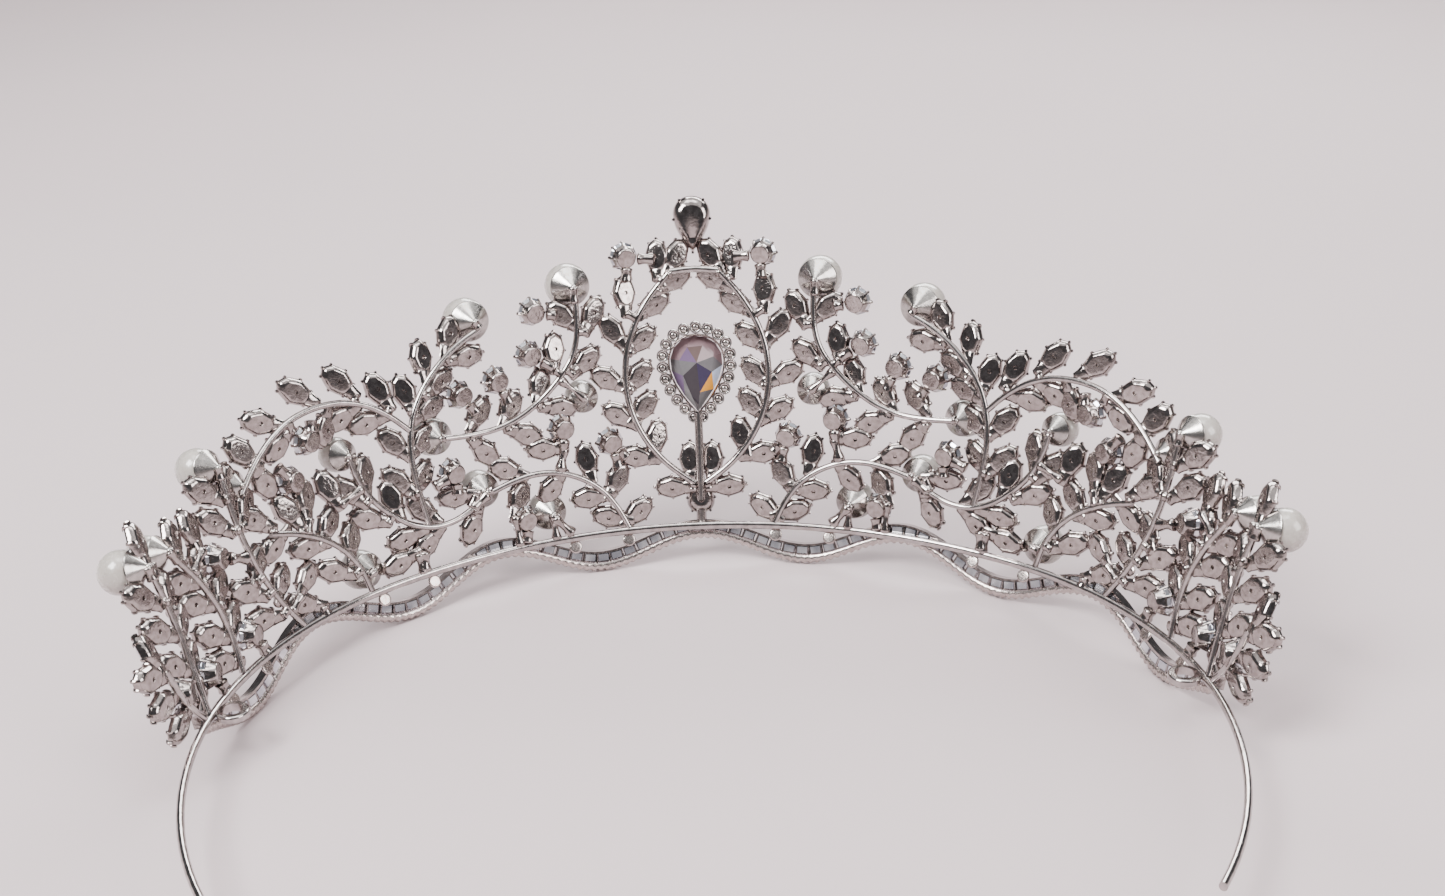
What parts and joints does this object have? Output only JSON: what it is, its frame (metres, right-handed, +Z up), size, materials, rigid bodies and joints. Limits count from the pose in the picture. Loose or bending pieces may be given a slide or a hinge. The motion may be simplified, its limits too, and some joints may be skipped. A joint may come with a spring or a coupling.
{
  "type": "bridal tiara",
  "caption": "Flared bridal tiara: wire sprigs of navette leaf settings, round settings and capped pearls round a haloed pear drop, on a scalloped gallery and an open headband.",
  "frame": {"origin": "middle of the bounding box's bottom: the level that the scallops stand on, on the mirror plane", "axes": "+Z up, the tiara faces -Y, the wearer's left is +X; the headband opens towards +Y"},
  "size_m": [0.1656, 0.1179, 0.0583],
  "materials": {
    "wire_metal": "polished rhodium-look plating",
    "setting_metal": "polished cast settings, rhodium-look plating",
    "crystal": "clear cut crystal",
    "violet_crystal": "cut crystal with a faint violet body",
    "pearl": "imitation pearl, satin nacre"
  },
  "bodies": {
    "root": {"base_crystal": "crystal", "base_pedestal": "wire_metal", "base_setting": "setting_metal", "centre_post": "wire_metal", "crown_crossbar": "wire_metal", "drop_bezel": "setting_metal", "drop_crystal": "violet_crystal", "finial_crystal": "crystal", "finial_setting": "setting_metal", "gallery_baguettes": "crystal", "gallery_tabs": "setting_metal", "halo_crystals": "crystal", "halo_cups": "setting_metal", "headband": "wire_metal", "left_arch_leaves": "setting_metal", "left_arch_wires": "wire_metal", "left_cup_crystals": "crystal", "left_cups": "setting_metal", "left_foot_leaves": "setting_metal", "left_foot_wires": "wire_metal", "left_joints": "wire_metal", "left_laurel_leaves": "setting_metal", "left_laurel_wires": "wire_metal", "left_leaf_crystals": "crystal", "left_oval_leaves": "setting_metal", "left_oval_wires": "wire_metal", "left_pearl_caps": "setting_metal", "left_pearls": "pearl", "left_pin_loop": "wire_metal", "left_plume_leaves": "setting_metal", "left_plume_wires": "wire_metal", "left_scroll_leaves": "setting_metal", "left_scroll_wires": "wire_metal", "left_spray_leaves": "setting_metal", "left_spray_wires": "wire_metal", "right_arch_leaves": "setting_metal", "right_arch_wires": "wire_metal", "right_cup_crystals": "crystal", "right_cups": "setting_metal", "right_foot_leaves": "setting_metal", "right_foot_wires": "wire_metal", "right_joints": "wire_metal", "right_laurel_leaves": "setting_metal", "right_laurel_wires": "wire_metal", "right_leaf_crystals": "crystal", "right_oval_leaves": "setting_metal", "right_oval_wires": "wire_metal", "right_pearl_caps": "setting_metal", "right_pearls": "pearl", "right_pin_loop": "wire_metal", "right_plume_leaves": "setting_metal", "right_plume_wires": "wire_metal", "right_scroll_leaves": "setting_metal", "right_scroll_wires": "wire_metal", "right_spray_leaves": "setting_metal", "right_spray_wires": "wire_metal", "scallop_borders": "setting_metal", "scallop_rails": "setting_metal"}
  },
  "joints": []
}
